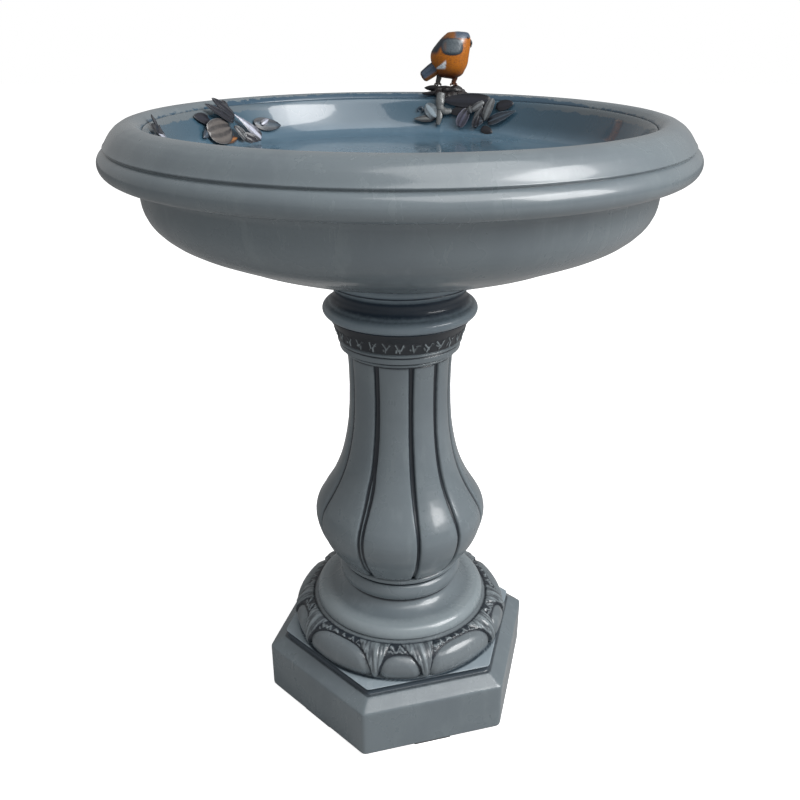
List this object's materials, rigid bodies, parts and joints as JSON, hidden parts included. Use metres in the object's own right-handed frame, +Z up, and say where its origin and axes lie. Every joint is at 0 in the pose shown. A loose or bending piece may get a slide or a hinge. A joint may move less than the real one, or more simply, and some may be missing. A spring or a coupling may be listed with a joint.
{
  "type": "bird bath",
  "caption": "Free-standing glazed bird bath: hexagonal plinth, lobed baluster pedestal and wide rolled-rim bowl that lifts off, with a painted songbird on the rim and flowers on the inner wall.",
  "frame": {"origin": "centre of the base on the ground, under the pedestal's axis", "axes": "+Z up along the pedestal; -Y is the front, and the songbird stands on the rim's far side, towards +Y and a little to +X"},
  "size_m": [0.532, 0.532, 0.6963],
  "materials": {
    "grey_glaze": "gloss",
    "dark_glaze": "gloss",
    "leaf_glaze": "gloss",
    "basin_glaze": "gloss",
    "steel": "zinc plated",
    "rubber": "matte",
    "bird_paint": "satin paint",
    "branch_paint": "satin paint"
  },
  "bodies": {
    "pedestal": {"plinth": "grey_glaze", "foot_collar": "grey_glaze", "foot_ring": "grey_glaze", "bead_ring": "grey_glaze", "shaft": "grey_glaze", "neck_ring": "grey_glaze", "plinth_step": "dark_glaze", "frieze": "dark_glaze", "capital": "dark_glaze", "leaf_cushion": "leaf_glaze", "tie_rod": "steel", "upper_nut": "steel", "upper_washer": "steel", "lower_nut": "steel", "lower_washer": "steel", "clamp_plate": "steel", "seat_gasket": "rubber", "foot_pad_1": "rubber", "foot_pad_2": "rubber", "foot_pad_3": "rubber", "foot_pad_4": "rubber", "foot_pad_5": "rubber", "foot_pad_6": "rubber"},
    "bowl": {"bowl": "grey_glaze", "basin": "basin_glaze", "bowl_spigot": "dark_glaze", "perch": "branch_paint", "side_shoot": "branch_paint", "songbird": "bird_paint", "bird_leg_left": "branch_paint", "bird_leg_right": "branch_paint", "flower_right": "leaf_glaze", "flower_left": "leaf_glaze", "flower_lone": "leaf_glaze", "leaf_right_1": "leaf_glaze", "leaf_right_2": "leaf_glaze", "leaf_left_1": "leaf_glaze", "leaf_left_2": "leaf_glaze"}
  },
  "joints": [
    {"name": "bowl_lift", "type": "slide", "parent": "pedestal", "child": "bowl", "axis": [0, 0, 1], "range_m": [0, 0.12]}
  ]
}
